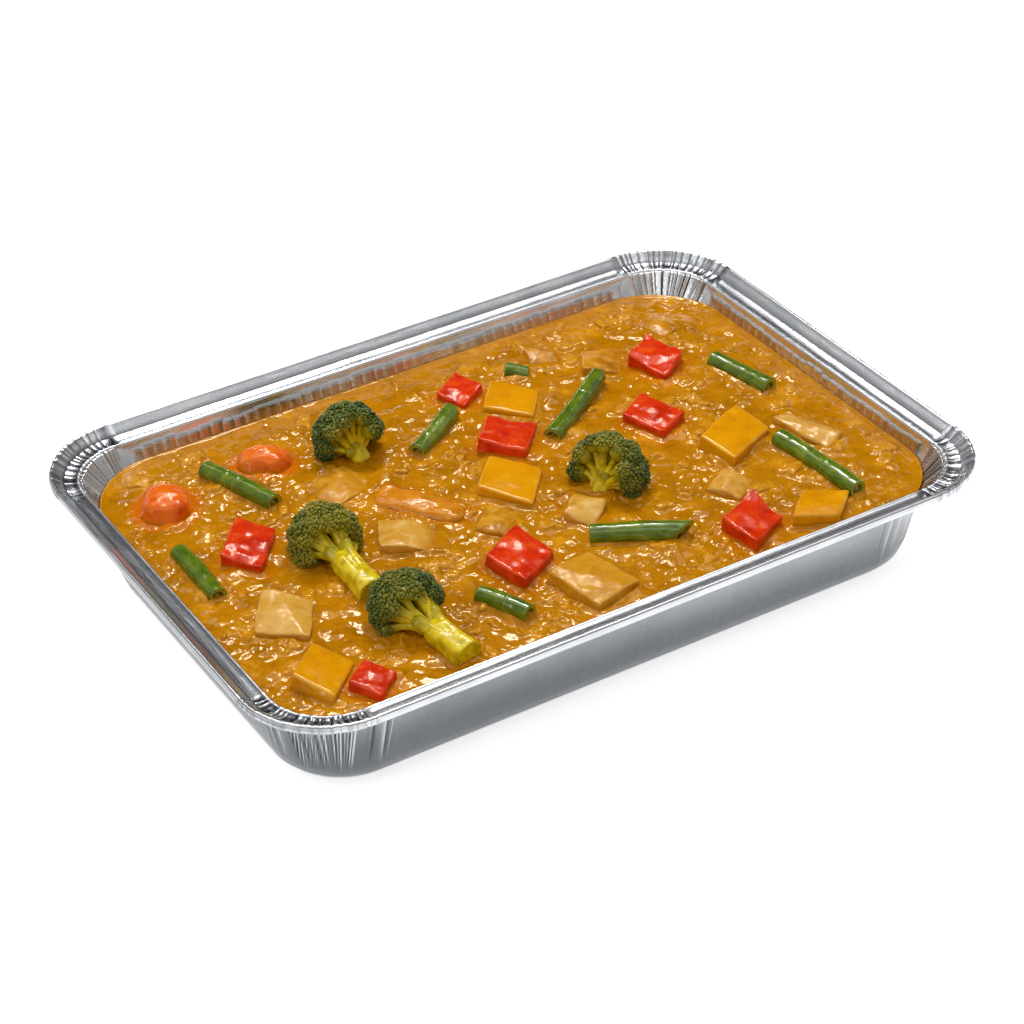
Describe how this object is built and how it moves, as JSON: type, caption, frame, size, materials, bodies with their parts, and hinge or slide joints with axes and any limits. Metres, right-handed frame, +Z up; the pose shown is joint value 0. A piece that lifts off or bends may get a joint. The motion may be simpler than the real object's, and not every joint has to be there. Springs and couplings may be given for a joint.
{
  "type": "foil tray meal",
  "caption": "Oblong aluminium foil tray with a crimped, curled rim, filled with vegetable curry: broccoli, green beans, peppers, potato, onion, carrot and tomato in sauce.",
  "frame": {"origin": "middle of the tray's underside, on the surface that it stands on", "axes": "+X along the tray's long side, +Y along its short side, +Z up"},
  "size_m": [0.32, 0.2294, 0.0612],
  "materials": {
    "foil": "bright rolled foil, pleated at the corners",
    "curry": "wet, glossy golden-brown curry sauce",
    "broccoli": "cooked broccoli, dark buds and yellow-green stalks",
    "green_bean": "cooked green bean, wet",
    "red_pepper": "cooked red pepper, wet and glossy",
    "tomato": "cooked tomato, orange-red, wet",
    "yellow_pepper": "cooked yellow pepper, wet and glossy",
    "potato": "potato coated in sauce",
    "onion": "translucent cooked onion in sauce",
    "carrot": "cooked carrot coated in sauce"
  },
  "bodies": {
    "root": {"tray": "foil", "curry": "curry", "broccoli_1": "broccoli", "broccoli_2": "broccoli", "broccoli_3": "broccoli", "broccoli_4": "broccoli", "green_bean_1": "green_bean", "green_bean_2": "green_bean", "green_bean_3": "green_bean", "green_bean_4": "green_bean", "green_bean_5": "green_bean", "green_bean_6": "green_bean", "green_bean_7": "green_bean", "green_bean_8": "green_bean", "green_bean_9": "green_bean", "red_pepper_1": "red_pepper", "red_pepper_2": "red_pepper", "red_pepper_3": "red_pepper", "red_pepper_4": "red_pepper", "red_pepper_5": "red_pepper", "red_pepper_6": "red_pepper", "red_pepper_7": "red_pepper", "red_pepper_8": "red_pepper", "tomato_1": "tomato", "tomato_2": "tomato", "yellow_pepper_1": "yellow_pepper", "yellow_pepper_2": "yellow_pepper", "yellow_pepper_3": "yellow_pepper", "yellow_pepper_4": "yellow_pepper", "yellow_pepper_5": "yellow_pepper", "potato_1": "potato", "potato_2": "potato", "potato_3": "potato", "potato_4": "potato", "potato_5": "potato", "potato_6": "potato", "onion_1": "onion", "onion_2": "onion", "onion_3": "onion", "onion_4": "onion", "onion_5": "onion", "carrot_1": "carrot"}
  },
  "joints": []
}
